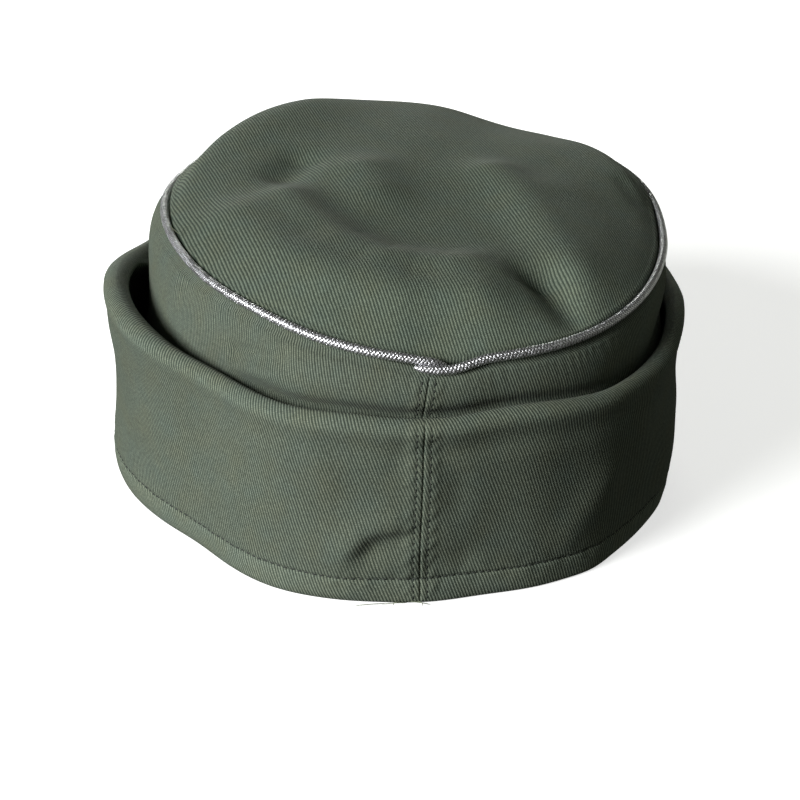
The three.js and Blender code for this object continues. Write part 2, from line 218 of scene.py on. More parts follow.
# Bulges of the wall and dents of the flap: share is a share of the height, tall its half width
WALL_FOLDS = table(
    "at share spread tall size",
    (96, 0.9, 26, 0.13, 2.0),
    (-40, 0.88, 14, 0.1, 0.6),
)
FLAP_FOLDS = table(
    "at share spread tall size",
    (-80, 0.38, 16, 0.2, 1.8),
    (84, 0.74, 18, 0.22, 1.6),
    (-66, 0.22, 7, 0.25, 1.6),
    (13, 0.22, 6, 0.2, 1.6),
    (60, 0.12, 30, 0.12, 0.8),
)

# Folds along a path: width is its half width and lift how far it raises the cloth.
# With sharp, the cloth is raised on one side of the path and lowered on the other.
PANEL_FOLDS = table(
    "path width lift sharp",
    ([(35, -80), (60, -52)], 20, 5.5),
    ([(-40, -86), (-56, -66)], 14, -2.5),
    ([(33, -22), (38, -12)], 7.5, -3.0),
    ([(12, -12), (10, 2)], 11.5, 2.7),
    ([(37, 9), (31, 24), (21, 40), (9, 50), (-10, 53), (-22, 51)], 9, 3.4),
    ([(52, 22), (41, 45), (23, 62), (4, 70), (-16, 70)], 14, 4.8),
    ([(-30, -14), (-38, 12), (-43, 34), (-50, 56)], 9.5, 2.8),
    ([(-48, 0), (-58, 48)], 14, 2.2),
    ([(-25, 50), (-37, 55)], 6, -1.6),
    ([(-39, 57), (-50, 84)], 6.5, -4.4),
    ([(-74, -20), (-77, -8)], 4, -1.5),
)
# Bands that run along the wall at the flap's fold: over is the height above the fold
WALL_BILLOWS = table(
    "over tall size",
    (9.0, 4.5, 0.5),
    (-3.0, 7.0, -1.3),
    (-1.8, 2.8, -3.0),
)
FLAP_CREASES = table(
    "path width lift sharp",
    ([(16.4, 18.4), (14.2, 21.2), (11.0, 22.8), (7.5, 23.6)], 6.2, -2.3, 3.4),
    ([(4.0, 13.0), (14.0, 12.0)], 5.0, 0.6),
    ([(-5, 14.5), (-14, 13.5)], 4.5, -1.0),
    ([(-51, 17), (-57, 24), (-65, 31)], 6.5, 0.9),
    ([(122, 17), (108, 17)], 9.0, -1.0),
    ([(33, 52), (27, 39)], 4.0, 0.5),
    ([(-3, 52), (-11, 42), (-11, 33)], 4.5, -0.7),
    ([(6, 53), (7, 46)], 4.0, -0.5),
)
# Lower inner edge of the flap, turned in under the hem of the wall: shares of the height, ways out
FLAP_LIP = [(0.021, 0.0), (0.017, -1.2), (0.008, -1.35), (0.0, -0.7)]
FLAP_TUCKS = table(
    "path width lift sharp",
    ([(155, 66), (160, 60), (167, 54), (175, 44)], 13.0, 3.4, 3.0),
)
WALL_CREASES = table(
    "path width lift",
    ([(50, 69.5), (61, 68), (71, 65.5)], 2.8, -1.8),
    ([(50, 66.0), (72, 61.5)], 2.8, 0.9),
)

peak_low, peak_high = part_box("peak")
ORIGIN = np.array([(peak_low.x + peak_high.x) / 2 / MM, peak_low.y / MM + PEAK_FRONT_Y, 0.0])


# Numbers
def smooth(value, low, high):
    part = np.clip((value - low) / (high - low), 0.0, 1.0)
    return part * part * (3.0 - 2.0 * part)


def mix(a, b, share):
    return a + (b - a) * share


def hump(value, middle, spread):
    return np.exp(-(((value - middle) / spread) ** 2))


def turn(angle, at):
    return (angle - at + 180.0) % 360.0 - 180.0


def wave(angle, row):
    return row["size"] * hump(turn(angle, row["at"]), 0.0, row["spread"])


def waves(angle, rows):
    return sum(wave(angle, row) for row in rows)


def swellings(angle, share, rows):
    return sum(wave(angle, row) * hump(share, row["share"], row["tall"]) for row in rows)


def rounded_off(distance, reach, least):
    """Height of a quarter circle at a distance from its foot: least at the foot, 1 past reach."""
    return np.sqrt(np.clip(1 - (1 - np.clip(distance / reach, 0.0, 1.0)) ** 2, least, 1.0))


def nearest(x, y, path):
    """Distance from a path of straight runs, and the distance to one side of its nearest run."""
    best, side = np.inf, 0.0
    for (x0, y0), (x1, y1) in zip(path[:-1], path[1:]):
        run_x, run_y = x1 - x0, y1 - y0
        length = math.hypot(run_x, run_y)
        from_x, from_y = x - x0, y - y0
        share = np.clip((from_x * run_x + from_y * run_y) / length**2, 0.0, 1.0)
        away = np.hypot(from_x - share * run_x, from_y - share * run_y)
        cross = (from_y * run_x - from_x * run_y) / length
        nearer = away < best
        best, side = np.where(nearer, away, best), np.where(nearer, cross, side)
    return best, side


def folds(x, y, rows):
    total = 0.0
    for row in rows:
        away, side = nearest(x, y, row["path"])
        rise = row["lift"] * hump(away, 0.0, row["width"])
        if "sharp" in row:
            rise = rise * np.tanh(side / row["sharp"])
        total = total + rise
    return total


def ripples(x, y, size, seed, count, low, high):
    """Soft waves in every direction, up to size high, of wavelengths from low to high."""
    draw = random.Random(seed)
    total = 0.0
    for _ in range(count):
        way = draw.uniform(0, math.pi)
        rate = 2 * math.pi / draw.uniform(low, high)
        phase = draw.uniform(0, 2 * math.pi)
        total = total + np.sin(rate * (x * math.cos(way) + y * math.sin(way)) + phase)
    return size * total / count


# Shape of the cap
def outward(angle):
    turned = np.radians(angle)
    return np.sin(turned), np.cos(turned)


def rim_height(y):
    distance = FLAT_RIM_Y - y
    bend = (distance + RIM_BEND) ** 2 / (4 * RIM_BEND)
    ramp = np.where(distance <= -RIM_BEND, 0.0, np.where(distance >= RIM_BEND, distance, bend))
    return REST_SLOPE * ramp


def rim_point(angle, out=0.0):
    sine, cosine = outward(angle)
    far = waves(angle, RIM_WAVES)
    x = sine * (RIM_HALF_WIDTH + far)
    y = cosine * (RIM_HALF_LENGTH + far)
    return x + sine * out, y + cosine * out, rim_height(y)


def seam_point(angle, out=0.0, up=0.0):
    sine, cosine = outward(angle)
    far = waves(angle, SEAM_PLAN_WAVES) + out
    x = sine * (SEAM_HALF_WIDTH + far) + SEAM_SHIFT_X
    y = cosine * (SEAM_HALF_LENGTH + far)
    slope = SEAM_LEFT_RISE * sine - SEAM_FORWARD_RISE * cosine
    return x, y, SEAM_HEIGHT + slope + waves(angle, SEAM_HEIGHT_WAVES) + up


def wall_point(angle, share, out=0.0):
    low_x, low_y, low_z = rim_point(angle, -FLAP_THICK - CLOTH_GAP)
    high_x, high_y, high_z = seam_point(angle)
    sine, cosine = outward(angle)
    lean = SIDE_LEAN * sine**2
    inset = lean * smooth(share, 0.0, SHOULDER_SHARE) + (1 - lean) * share**WALL_CURVE_POWER
    far = out + swellings(angle, share, WALL_FOLDS)
    x = mix(low_x, high_x, inset) + sine * far
    y = mix(low_y, high_y, inset) + cosine * far
    return x, y, mix(low_z + WALL_HEM_LIFT, high_z, share)


def flap_top(angle):
    cosine = outward(angle)[1]
    front = (1 - cosine) / 2
    rise = -FLAP_FORWARD_RISE * cosine - FLAP_FRONT_DROP * front**2
    return FLAP_HEIGHT + rise + waves(angle, FLAP_TOP_WAVES)


def wall_share(angle, height):
    low = rim_point(angle)[2] + WALL_HEM_LIFT
    return (height - low) / (seam_point(angle)[2] - low)


def flap_height(angle, share):
    return mix(rim_point(angle)[2], flap_top(angle), share)


def flap_share(angle, height):
    low = rim_point(angle)[2]
    return (height - low) / (flap_top(angle) - low)


def flap_thickness(share):
    return mix(FLAP_THICK, FLAP_ROLL_THICK, smooth(share, FLAP_ROLL_FROM, FLAP_ROLL_TO))


def flap_point(angle, share, out):
    height = flap_height(angle, share)
    wall_x, wall_y, _ = wall_point(angle, np.clip(wall_share(angle, height), 0.0, 1.0))
    start = 180.0 - FLAP_OVERLAP_ANGLE
    overlap = smooth(angle, start - FLAP_OVERLAP_RAMP, start)
    stand = CLOTH_GAP + waves(angle, FLAP_STAND_OFF) * share + swellings(angle, share, FLAP_FOLDS)
    stand = stand + overlap * (FLAP_ROLL_THICK + CLOTH_GAP) + out
    sine, cosine = outward(angle)
    return wall_x + sine * stand, wall_y + cosine * stand, height


def front_share(angle):
    return smooth(np.abs(turn(angle, 0.0)), PANEL_FRONT_FROM, PANEL_FRONT_TO)


def panel_point(angle, reach, down=0.0):
    edge_x, edge_y, _ = seam_point(angle)
    sine, cosine = outward(angle)
    x = SEAM_SHIFT_X + (edge_x - SEAM_SHIFT_X) * reach
    y = edge_y * reach
    tilt = (SEAM_LEFT_RISE * sine - SEAM_FORWARD_RISE * cosine) * reach
    dips = waves(angle, SEAM_HEIGHT_WAVES) * reach**3
    relief = folds(x, y, PANEL_FOLDS) * (1 - reach**8)
    dome = PANEL_DOME * (1 - reach**2)
    inside = (1 - reach) * SEAM_HALF_WIDTH
    front = mix(0.5 - 0.5 * np.tanh(y / PANEL_TURN_WIDTH), front_share(angle), reach**2)
    roll = mix(PANEL_ROLL_BACK, PANEL_ROLL_FRONT, front) * (1 - hump(inside, 0.0, PANEL_ROLL_WIDTH))
    swell = PANEL_SWELL * (1 - front) * (1 - hump(inside, 0.0, PANEL_SWELL_WIDTH))
    return x, y, SEAM_HEIGHT + tilt + dips + relief + dome + roll + swell - down


# Distance round the rim from the back, at each angle
ROUND_ANGLES = np.linspace(-200.0, 200.0, 4001)
round_x, round_y, _ = rim_point(ROUND_ANGLES)
ROUND_LENGTHS = np.concatenate([[0.0], np.cumsum(np.hypot(np.diff(round_x), np.diff(round_y)))])
ROUND_LENGTHS -= np.interp(0.0, ROUND_ANGLES, ROUND_LENGTHS)


def length_at(angle):
    return np.interp(angle, ROUND_ANGLES, ROUND_LENGTHS)


def angle_at(length):
    return np.interp(length, ROUND_LENGTHS, ROUND_ANGLES)


# Meshes
def stacked(*parts):
    return np.stack(np.broadcast_arrays(*parts), -1)


def unit(ways):
    return ways / np.linalg.norm(ways, axis=-1, keepdims=True)


def ring(around, side, up):
    return np.cos(around)[..., None] * side + np.sin(around)[..., None] * up


def closed(grid):
    return np.concatenate([grid, grid[:, :1]], axis=1)


def linked(name, data):
    piece = bpy.data.objects.new(name, data)
    bpy.context.scene.collection.objects.link(piece)
    return piece


def build(name, points, uv, close_rows=False, close_columns=False, tone=None, upper=None,
          poles=(), pole_uv=None):
    """A mesh from a grid of points, with open columns capped and open rows closed at the poles."""
    rows, columns = points.shape[:2]
    last_row = rows if close_rows else rows - 1
    last_column = columns if close_columns else columns - 1
    i, j = np.meshgrid(np.arange(last_row), np.arange(last_column), indexing="ij")
    i, j = i.ravel(), j.ravel()
    corners = [(i, j), (i, j + 1), (i + 1, j + 1), (i + 1, j)]
    faces = np.stack([(a % rows) * columns + b % columns for a, b in corners], -1).tolist()
    corner_uv = np.stack([uv[a, b] for a, b in corners], 1).reshape(-1, 2).tolist()
    vertices = points.reshape(-1, 3)
    tones = np.ones(len(vertices)) if tone is None else tone.reshape(-1)
    if not close_columns:
        for column in (0, columns - 1):
            for row in range(rows // 2 - 1):
                ends = [row, rows - 1 - row, rows - 2 - row, row + 1]
                faces.append([end * columns + column for end in ends])
                corner_uv += [uv[end, column].tolist() for end in ends]
    for pole, row in zip(poles, (0, rows - 1)):
        vertices = np.vstack([vertices, pole])
        tones = np.append(tones, tones[row * columns])
        for column in range(columns):
            ends = [row * columns + column, row * columns + (column + 1) % columns]
            faces.append([len(vertices) - 1] + ends)
            corner_uv += [pole_uv, uv[row, column].tolist(), uv[row, column + 1].tolist()]
    mesh = bpy.data.meshes.new(name)
    mesh.from_pydata(((vertices + ORIGIN) * MM).tolist(), [], faces)
    layer = mesh.uv_layers.new(name="UVMap")
    layer.data.foreach_set("uv", (np.array(corner_uv) * MM).ravel())
    store(mesh, "tone", tones)
    if upper is not None:
        store(mesh, "upper", upper)
    return finish_mesh(name, mesh)


def store(mesh, name, values):
    attribute = mesh.attributes.new(name, "FLOAT", "POINT")
    attribute.data.foreach_set("value", values.ravel().astype(np.float32))


def finish_mesh(name, mesh):
    mesh.validate()
    mesh.polygons.foreach_set("use_smooth", np.ones(len(mesh.polygons), bool))
    piece = linked(name, mesh)
    bpy.context.view_layer.objects.active = piece
    piece.select_set(True)
    bpy.ops.object.mode_set(mode="EDIT")
    bpy.ops.mesh.select_all(action="SELECT")
    bpy.ops.mesh.normals_make_consistent(inside=False)
    bpy.ops.object.mode_set(mode="OBJECT")
    piece.select_set(False)
    return piece


def across_rows(points):
    """Distance along each column of a grid from its first row, with a row more to close it."""
    steps = np.linalg.norm(np.diff(points, axis=0), axis=2)
    run = np.cumsum(steps, axis=0)
    return np.concatenate([np.zeros((1, points.shape[1])), run, run[-1:] + 1.0])


def drift(points, angle):
    """How far each point is round the cap from the foot of its column."""
    sine, cosine = outward(angle)
    move = points - points[:1]
    moved = move[:, :, 0] * cosine - move[:, :, 1] * sine
    return np.concatenate([moved, moved[:1]])


def dress(piece, slot, material, *nodes):
    piece.data.materials.clear()
    piece.data.materials.append(material)
    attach(piece, "root")
    if nodes:
        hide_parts(*nodes)


# Materials
class Nodes:
    """Adds nodes to a material and joins them."""

    def __init__(self, name):
        self.material = bpy.data.materials.new(name)
        self.material.use_nodes = True
        self.tree = self.material.node_tree
        self.shader = self.tree.nodes["Principled BSDF"]

    def node(self, kind, **inputs):
        node = self.tree.nodes.new("ShaderNode" + kind)
        for name, value in inputs.items():
            self.put(node.inputs[name], value)
        return node

    def put(self, socket, value):
        if isinstance(value, bpy.types.NodeSocket):
            self.tree.links.new(value, socket)
        else:
            socket.default_value = value

    def set(self, name, value):
        self.put(self.shader.inputs[name], value)

    def math(self, operation, *values):
        node = self.node("Math")
        node.operation = operation
        for socket, value in zip(node.inputs, values):
            self.put(socket, value)
        return node.outputs[0]

    def line(self, value, slope, start):
        return self.math("MULTIPLY_ADD", value, slope, start)

    def uv(self):
        node = self.node("UVMap")
        node.uv_map = "UVMap"
        split = self.node("SeparateXYZ", Vector=node.outputs["UV"])
        return node.outputs["UV"], split.outputs["X"], split.outputs["Y"]

    def place(self):
        return self.node("TexCoord").outputs["Object"]

    def noise(self, vector, size, detail=2.0, roughness=0.5):
        node = self.node("TexNoise", Vector=vector, Scale=1 / size, Detail=detail, Roughness=roughness)
        return node.outputs["Fac"]

    def attribute(self, name):
        node = self.node("Attribute")
        node.attribute_name = name
        return node.outputs["Fac"]

    def mixed(self, share, low, high, kind="FLOAT", first_input=2, output=0):
        node = self.node("Mix")
        node.data_type = kind
        self.put(node.inputs[0], share)
        self.put(node.inputs[first_input], low)
        self.put(node.inputs[first_input + 1], high)
        return node.outputs[output]

    def between(self, share, low, high):
        """A colour between two colours."""
        return self.mixed(share, low, high, "RGBA", 6, 2)

    def times(self, colour, factor):
        node = self.node("VectorMath")
        node.operation = "MULTIPLY"
        self.put(node.inputs[0], colour)
        self.put(node.inputs[1], factor)
        return node.outputs[0]

    def bump(self, height, distance):
        return self.node("Bump", Strength=1.0, Distance=distance, Height=height).outputs[0]


# Twill's looks. Wanders are the size and reach of each way that its ridges stray, in metres.
# Flecks are light and dark spots: size in metres, detail, roughness and strength.
TWILL_WANDERS = [(0.016, 0.0007), (0.0016, 0.0002)]
YARN_SLANT = 0.62
YARN_ROUNDING = 0.16
CLOTH_SHADE = 0.35
CLOTH_FLECKS = [(0.0024, 3.0, 0.7, 0.34), (0.03, 3.0, 0.6, 0.26), (0.001, 1.0, 0.5, 0.7)]
WARM_TINT = (1.09, 1.0, 0.9, 1.0)
COOL_TINT = (0.92, 1.0, 1.1, 1.0)


def twill(name, ridge, groove, pitch, angle, relief=0.12):
    """Diagonal twill: rounded ridges of slanted yarns, a little uneven, with darker grooves, partly
    painted shade.
    """
    nodes = Nodes(name)
    flat, u, v = nodes.uv()
    sine, cosine = outward(angle)
    across = nodes.line(u, -sine, nodes.math("MULTIPLY", v, cosine))
    for size, reach in TWILL_WANDERS:
        across = nodes.math("ADD", across, nodes.line(nodes.noise(flat, size, 1.0), reach, -reach / 2))
    along = nodes.line(u, cosine, nodes.math("MULTIPLY", v, sine))
    turns = nodes.math("MULTIPLY", across, 2 * math.pi / (pitch * MM))
    rib = nodes.line(nodes.math("COSINE", turns), 0.5, 0.5)
    slant = nodes.math("MULTIPLY", along, 2 * math.pi / (YARN_SLANT * pitch * MM))
    slant = nodes.line(turns, 0.5, slant)
    yarn = nodes.line(nodes.math("SINE", slant), YARN_ROUNDING, 1 - YARN_ROUNDING)
    grain = nodes.noise(flat, 0.0005, 2.0, 0.7)
    height = nodes.math("MULTIPLY", nodes.math("MULTIPLY", rib, yarn), nodes.math("ADD", grain, 0.5))
    shade = CLOTH_SHADE
    for size, detail, roughness, strength in CLOTH_FLECKS:
        shade = nodes.line(nodes.noise(flat, size, detail, roughness), strength, shade)
    shade = nodes.math("MULTIPLY", shade, nodes.attribute("tone"))
    # The grooves' darker colour is partly the weave's own and partly painted shade.
    colour = nodes.between(height, groove, ridge)
    tint = nodes.between(nodes.noise(flat, 0.011, 2.0), WARM_TINT, COOL_TINT)
    nodes.set("Base Color", nodes.times(nodes.times(colour, tint), shade))
    nodes.set("Roughness", nodes.line(grain, 0.16, 0.78))
    nodes.set("Specular IOR Level", 0.12)
    nodes.set("Sheen Weight", 0.03)
    nodes.set("Sheen Roughness", 0.5)
    nodes.set("Normal", nodes.bump(height, relief * MM * pitch))
    return nodes.material


def thread(name, colour, groove):
    nodes = Nodes(name)
    grain = nodes.noise(nodes.place(), 0.0004, 2.0, 0.6)
    nodes.set("Base Color", nodes.between(grain, groove, colour))
    nodes.set("Roughness", 0.75)
    nodes.set("Normal", nodes.bump(grain, 0.00006))
    return nodes.material


def bright_metal(name, light, dark):
    """Flat metal strands: fine wires along each strand, with painted shade where one dives under the
    next.
    """
    nodes = Nodes(name)
    _, u, v = nodes.uv()
    place = nodes.place()
    along = nodes.math("MULTIPLY", u, BRAID_STRANDS / 2 / (BRAID_PITCH * MM))
    around = nodes.math("MULTIPLY", v, BRAID_STRANDS / 2 / (2 * math.pi * PIPING_RADIUS * MM))
    one = nodes.math("ADD", around, along)
    two = nodes.math("SUBTRACT", around, along)
    turns = nodes.mixed(nodes.attribute("upper"), two, one)
    wires = nodes.math("SINE", nodes.math("MULTIPLY", turns, 2 * math.pi * BRAID_WIRES))
    fleck = nodes.noise(place, 0.0005, 2.0, 0.7)
    patch = nodes.noise(place, 0.006, 2.0, 0.6)
    lightening = nodes.noise(place, 0.0013, 1.0)
    share = nodes.math("ADD", lightening, nodes.line(fleck, 0.7, -0.01))
    share = nodes.line(wires, 0.12, share)
    share = nodes.math("MULTIPLY", share, nodes.attribute("tone"))
    nodes.set("Base Color", nodes.between(share, dark, light))
    nodes.set("Metallic", 0.92)
    nodes.set("Roughness", nodes.line(patch, 0.25, 0.2))
    nodes.set("Normal", nodes.bump(nodes.line(wires, 0.5, fleck), 0.000022))
    return nodes.material


def button_finish(name, light, dark):
    nodes = Nodes(name)
    place = nodes.place()
    pebble = nodes.node("TexVoronoi", Vector=place, Scale=1500.0)
    patch = nodes.noise(place, 0.003, 3.0, 0.6)
    nodes.set("Base Color", nodes.between(patch, dark, light))
    nodes.set("Metallic", 0.35)
    nodes.set("Roughness", nodes.line(patch, 0.2, 0.42))
    nodes.set("Normal", nodes.bump(pebble.outputs["Distance"], -0.0002))
    return nodes.material


YARN = (0.146, 0.166, 0.128, 1)
# Twill groove colour: partly the yarn's own and partly painted shade.
GROOVE_COLOUR_AND_SHADE = (0.026, 0.036, 0.027, 1)
# Painted shade: the crown top's yarn is a darker, greener copy of the band's yarn.
SHADED_TOP_YARN = (0.126, 0.15, 0.113, 1)
TOP_CLOTH = twill("crown panel twill", SHADED_TOP_YARN, GROOVE_COLOUR_AND_SHADE, TOP_TWILL_PITCH, TOP_TWILL_ANGLE, 0.1)
WALL_CLOTH = twill("crown wall twill", YARN, GROOVE_COLOUR_AND_SHADE, TWILL_PITCH, BAND_TWILL_ANGLE)
FLAP_CLOTH = twill("flap twill", YARN, GROOVE_COLOUR_AND_SHADE, TWILL_PITCH, BAND_TWILL_ANGLE)
PEAK_CLOTH = twill("peak twill", YARN, GROOVE_COLOUR_AND_SHADE, TWILL_PITCH, PEAK_TWILL_ANGLE)
# The thread is much darker than the cloth: partly its own colour and partly painted shade of the
# sunken stitches.
THREAD = thread("sewing thread", (0.022, 0.028, 0.021, 1), (0.008, 0.011, 0.008, 1))
LOOSE_YARN = thread("loose yarn", (0.24, 0.27, 0.18, 1), (0.09, 0.105, 0.07, 1))
BRAID = bright_metal("metallic braid", (0.94, 0.94, 0.98, 1), (0.16, 0.155, 0.165, 1))
BUTTON = button_finish("button paint", (0.16, 0.178, 0.14, 1), (0.085, 0.098, 0.077, 1))


# Crown panel
PANEL_COLUMNS = 480
PANEL_ROWS = 104
PANEL_UNDER_ROWS = 30
PANEL_RIPPLES = dict(size=0.16, seed=11, count=9, low=14.0, high=42.0)
# Painted light: the crown top grows lighter towards the back, from the first y to the second.
PANEL_PAINTED_LIGHT = 0.3
PANEL_PAINTED_LIGHT_Y = (30.0, 85.0)
# The turned edge, out and up from the seam: its lip at the back and front, then the rest
PANEL_LIP_BACK = (-1.95, 1.0)
PANEL_LIP_FRONT = (-1.1, 2.3)
PANEL_EDGE = [(-1.75, 0.1), (-1.75, -1.45), (-3.25, -1.45), (-3.45, -0.5)]


def panel_face(angle, reach):
    x, y, z = panel_point(angle, reach)
    return stacked(x, y, z + ripples(x, y, **PANEL_RIPPLES) * (1 - reach**6))


def crown_panel():
    angle = np.linspace(0.0, 360.0, PANEL_COLUMNS, endpoint=False)[None, :]
    reach = (PANEL_EDGE_SHARE * np.linspace(1.0 / PANEL_ROWS, 1.0, PANEL_ROWS) ** 0.85)[:, None]
    top = panel_face(angle, reach)
    front = front_share(angle)
    lip = [mix(at_back, at_front, front) for at_back, at_front in zip(PANEL_LIP_BACK, PANEL_LIP_FRONT)]
    edge = [stacked(*seam_point(angle, out, up)) for out, up in [lip, *PANEL_EDGE]]
    inside = PANEL_EDGE_SHARE * PANEL_INSIDE_SHARE * np.linspace(1.0, 0.05, PANEL_UNDER_ROWS)
    under = stacked(*panel_point(angle, inside[:, None], PANEL_THICK))
    points = np.concatenate([top, *edge, under])
    poles = [panel_face(0.0, 0.0), stacked(*panel_point(0.0, 0.0, PANEL_THICK))]
    tone = np.ones(points.shape[:2])
    # Painted light towards the back of the crown top.
    tone[:len(top)] += PANEL_PAINTED_LIGHT * smooth(top[:, :, 1], *PANEL_PAINTED_LIGHT_Y)
    piece = build("crown_panel", points, closed(points[:, :, :2]), close_columns=True, tone=tone,
                  poles=poles, pole_uv=[SEAM_SHIFT_X, 0.0])
    dress(piece, "crown_cloth", TOP_CLOTH, "crown_top")


# Crown wall
WALL_STEP = 0.6
WALL_FOOT = 0.03
WALL_HEM = [(0.008, 0.9), (0.0, 0.5), (0.008, 0.1)]
BILLOW_INSIDE = 0.86
SEAM_FINE_STEP = 0.2
SEAM_FINE_WIDTH = 5.0
WALL_RIPPLES = dict(size=0.3, seed=23, count=8, low=16.0, high=46.0)
# Gathers under the piping: where they rise and fall on the wearer's left and right, and how far
GATHER_LEFT = (40.0, 60.0, 118.0, 135.0)
GATHER_RIGHT = (28.0, 40.0, 62.0, 80.0)
GATHER_LEAST = 0.05
GATHER_LEFT_LIFT = 0.15
GATHER_RIGHT_SHARE = 0.45
GATHER_SLANT = 0.4
# The flap's fold holds the wall, and painted shade darkens the wall above the fold: each fully below
# the first stand-off and not past the second. A pair for a place is an angle and its spread.
HELD_STAND_OFF = (1.8, 4.5)
HELD_LESS = 0.5
HELD_LESS_AT = (-42.0, 24.0)
# Painted shade: the wall is darker just above the flap's fold.
WALL_FOLD_PAINTED_SHADE = 0.2
FOLD_SHADE_STAND_OFF = (3.0, 8.0)
FOLD_SHADE_TALL = 4.0
# Painted light: the wall is lighter towards the wearer's right.
WALL_PAINTED_LIGHT = 0.25
WALL_PAINTED_LIGHT_AT = (-55.0, 28.0)


def finer(places, low, high, step):
    """Places along the rim, set a step apart from low to high."""
    kept = places[(places < low) | (places > high)]
    return np.unique(np.concatenate([kept, np.arange(low, high, step)]))


def finer_at_seam(places):
    return finer(places, BACK_SEAM_U - SEAM_FINE_WIDTH, BACK_SEAM_U + SEAM_FINE_WIDTH, SEAM_FINE_STEP)


def seam_place(height):
    """Place of the back seam along the rim, which slants and wanders a little."""
    return BACK_SEAM_U + SEAM_SLANT * (height - SEAM_SLANT_FROM) + SEAM_WANDER * np.sin(height / 9.0)


def back_seam(length, height):
    """Lift of the cloth at the back seam: a step and groove between two rows of stitches."""
    side = length - seam_place(height)
    away = np.abs(side)
    step = -0.07 * np.tanh(side / 0.25) * hump(away, 0.0, 2.2)
    groove = -0.5 * hump(away, 0.0, 0.3)
    dimple = 0.6 + 0.4 * np.cos(2 * math.pi * height / SEAM_STITCH_PITCH)
    sewn = -0.24 * hump(away, SEAM_STITCH_AWAY, 0.4) * dimple
    allowance = 0.2 * (1 - smooth(away, 3.4, 6.0))
    drawn = 0.13 * hump(away, 3.4, 1.5) * np.sin(2 * math.pi * height / 5.3 + 0.8 * length)
    return step + groove + sewn + allowance + drawn


def stretch(length, rise_from, rise_to, fall_from, fall_to):
    return smooth(length, rise_from, rise_to) * (1 - smooth(length, fall_from, fall_to))


def wall_detail(length, angle, height):
    """Lift of the outer cloth of the wall: its gathers, soft waves, creases and seam."""
    below = seam_point(angle)[2] - height
    left, right = stretch(length, *GATHER_LEFT), stretch(-length, *GATHER_RIGHT)
    strength = GATHER_LEAST + GATHER_LEFT_LIFT * np.maximum(left, GATHER_RIGHT_SHARE * right)
    phase = 2 * math.pi * (length + GATHER_SLANT * below) / GATHER_PITCH
    phase = phase + 2.4 * np.sin(length / 7.0) + np.sin(length / 2.9)
    gathers = strength * (1 + 0.6 * np.sin(length / 5.3)) * np.sin(phase)
    reach = GATHER_LENGTH * (1 + 0.4 * np.sin(length / 4.1))
    gathers = gathers * hump(np.maximum(below - 1.5, 0.0), 0.0, reach)
    cloth = ripples(length, height, **WALL_RIPPLES) + folds(length, height, WALL_CREASES)
    return gathers + cloth + back_seam(length, height)


def wall_billow(angle, height):
    """How the wall draws in where the flap's fold holds it and swells above."""
    over = height - flap_top(angle)
    held = 1 - smooth(waves(angle, FLAP_STAND_OFF), *HELD_STAND_OFF)
    held = held * (1 - HELD_LESS * hump(angle, *HELD_LESS_AT))
    return held * sum(row["size"] * hump(over, row["over"], row["tall"]) for row in WALL_BILLOWS)


def crown_wall():
    start, end = length_at(-180.0), length_at(180.0)
    length = finer_at_seam(np.arange(start, end - WALL_STEP, WALL_STEP))[None, :]
    angle = angle_at(length)
    share = np.concatenate([np.linspace(WALL_FOOT, 0.66, 16), np.linspace(0.69, 0.955, 26)])[:, None]
    height = wall_point(angle, share)[2]
    detail = wall_detail(length, angle, height) * smooth(share, WALL_FOOT, 0.2)
    outer = stacked(*wall_point(angle, share, detail + wall_billow(angle, height)))
    ledge = -PIPING_RADIUS - CLOTH_GAP
    ledge_outs = (WALL_TOP_OUT + 0.1, WALL_TOP_OUT - 0.1, 0.2 - SEAM_ALLOWANCE, -SEAM_ALLOWANCE)
    ledge_ups = (ledge - 0.9, ledge, ledge, ledge - 0.9)
    top = [stacked(*seam_point(angle, out, up)) for out, up in zip(ledge_outs, ledge_ups)]
    inner_share = np.linspace(0.94, WALL_FOOT, 22)[:, None]
    billow = BILLOW_INSIDE * wall_billow(angle, wall_point(angle, inner_share)[2])
    inner = stacked(*wall_point(angle, inner_share, billow - WALL_THICK))
    hem = [stacked(*wall_point(angle, low, -WALL_THICK * depth)) for low, depth in WALL_HEM]
    points = np.concatenate([outer, *top, inner, *hem])
    along = length + drift(points, angle)
    along = np.concatenate([along, along[:, :1] + end - start], axis=1)
    uv = stacked(along, closed(across_rows(points)))
    tone = np.ones(points.shape[:2])
    # Painted shade on the wall just above the flap's fold.
    fold_shade = 1 - smooth(waves(angle, FLAP_STAND_OFF), *FOLD_SHADE_STAND_OFF)
    tone[:len(outer)] -= WALL_FOLD_PAINTED_SHADE * fold_shade * hump(height - flap_top(angle), 0.0, FOLD_SHADE_TALL)
    # Painted light on the wall towards the wearer's right.
    tone[:len(outer)] += WALL_PAINTED_LIGHT * hump(angle, *WALL_PAINTED_LIGHT_AT)
    piece = build("crown_band", points, uv, close_rows=True, close_columns=True, tone=tone)
    dress(piece, "crown_cloth", WALL_CLOTH, "crown_wall")


